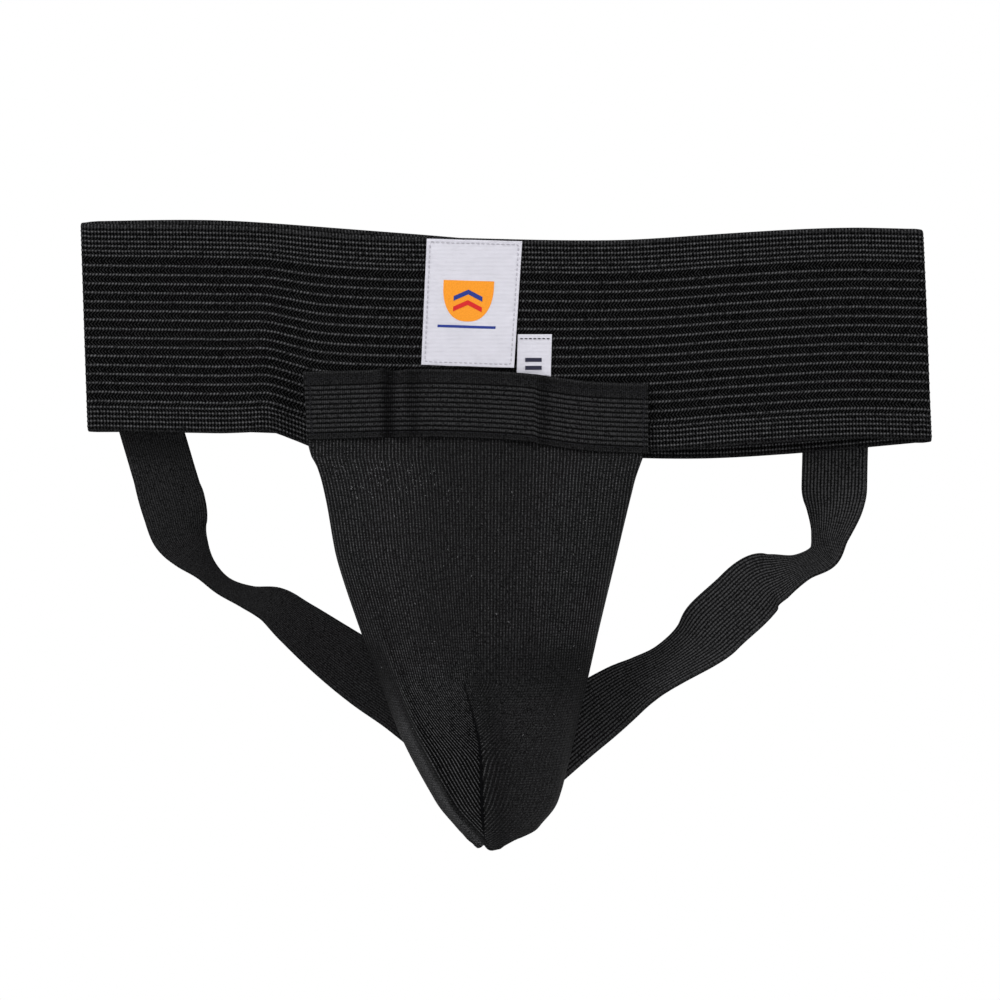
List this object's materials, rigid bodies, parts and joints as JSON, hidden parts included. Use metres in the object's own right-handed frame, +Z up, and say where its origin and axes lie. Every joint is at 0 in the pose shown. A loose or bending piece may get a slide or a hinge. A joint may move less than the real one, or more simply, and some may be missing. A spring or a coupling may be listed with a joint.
{
  "type": "groin protector",
  "caption": "Hard vented cup in a knitted pouch on a wide elastic waistband, with leg straps running from the pouch's tip to the back of the band.",
  "frame": {"origin": "middle of the waist opening, half way up the waistband, at rest", "axes": "upright as worn: +X to the viewer's right when seen from the front, -Y to the front, +Z up towards the waistband's top edge"},
  "size_m": [0.3214, 0.07, 0.2382],
  "materials": {
    "waistband_elastic": "matte woven elastic",
    "ribbed_elastic": "matte ribbed elastic",
    "strap_elastic": "matte woven elastic",
    "pouch_knit": "matte rib knit",
    "lining_knit": "matte plain knit",
    "black_thread": "satin sewing thread",
    "white_thread": "satin sewing thread",
    "label_satin": "woven satin",
    "cup_plastic": "moulded polypropylene",
    "rim_rubber": "soft moulded edge"
  },
  "bodies": {
    "waistband": {"waistband": "waistband_elastic", "waistband_join_stitch_left": "black_thread", "waistband_join_stitch_right": "black_thread", "label": "label_satin", "label_stitching": "white_thread", "size_tab_stitch": "black_thread", "mouth_elastic": "ribbed_elastic", "mouth_hem_stitch_upper": "black_thread", "mouth_hem_stitch_lower": "black_thread", "mouth_side_tack_left": "black_thread", "mouth_side_tack_right": "black_thread", "leg_strap_left_sewn_end": "strap_elastic", "leg_strap_right_sewn_end": "strap_elastic", "leg_strap_left_waist_tack": "black_thread", "leg_strap_right_waist_tack": "black_thread"},
    "size_tab": {"size_tab": "label_satin"},
    "pouch": {"pouch_front": "pouch_knit", "pouch_lining": "lining_knit", "pouch_dart_seam": "black_thread", "pouch_edge_binding_left": "pouch_knit", "pouch_edge_binding_right": "pouch_knit", "leg_strap_left": "strap_elastic", "leg_strap_right": "strap_elastic", "leg_strap_tip_tack": "black_thread"},
    "cup": {"cup_shell": "cup_plastic", "cup_rim": "rim_rubber"}
  },
  "joints": [
    {"name": "pouch_fold", "type": "hinge", "parent": "waistband", "child": "pouch", "pos_m": [0, -0.0096, -0.0405], "axis": [1, 0, 0], "range_deg": [0, 60]},
    {"name": "cup_slide", "type": "slide", "parent": "pouch", "child": "cup", "axis": [0, -0.2079, 0.9781], "range_m": [0, 0.2], "deforming": ["pouch_front", "mouth_elastic"]},
    {"name": "size_tab_flip", "type": "hinge", "parent": "waistband", "child": "size_tab", "pos_m": [0.011, -0.00925, 0.002], "axis": [-1, 0, 0], "range_deg": [0, 150], "deforming": ["size_tab"]}
  ]
}
